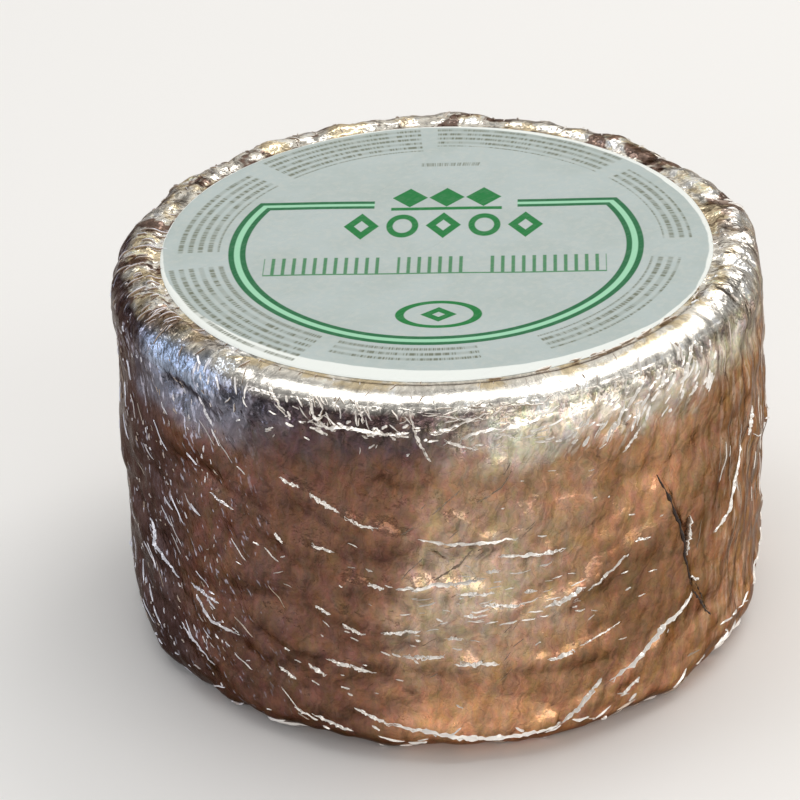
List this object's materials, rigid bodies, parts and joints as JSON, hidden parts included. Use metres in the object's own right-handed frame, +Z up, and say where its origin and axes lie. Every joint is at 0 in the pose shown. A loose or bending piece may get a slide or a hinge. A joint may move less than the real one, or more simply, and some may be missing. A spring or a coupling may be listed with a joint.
{
  "type": "foil-wrapped wheel of blue cheese",
  "caption": "Whole wheel of blue cheese wrapped shut in creased foil, with a round paper label on its flat top.",
  "frame": {"origin": "middle of the flat base that the wheel rests on", "axes": "+Z up along the wheel's axis; -Y towards the front, the side shown; +X to the right"},
  "size_m": [0.1881, 0.1889, 0.1154],
  "materials": {
    "foil": "thin crinkled foil, bright, with soft warm reflections",
    "label_paper": "smooth printed paper, slightly glossy"
  },
  "bodies": {
    "root": {"foil_wrapped_wheel": "foil", "round_label": "label_paper"}
  },
  "joints": []
}
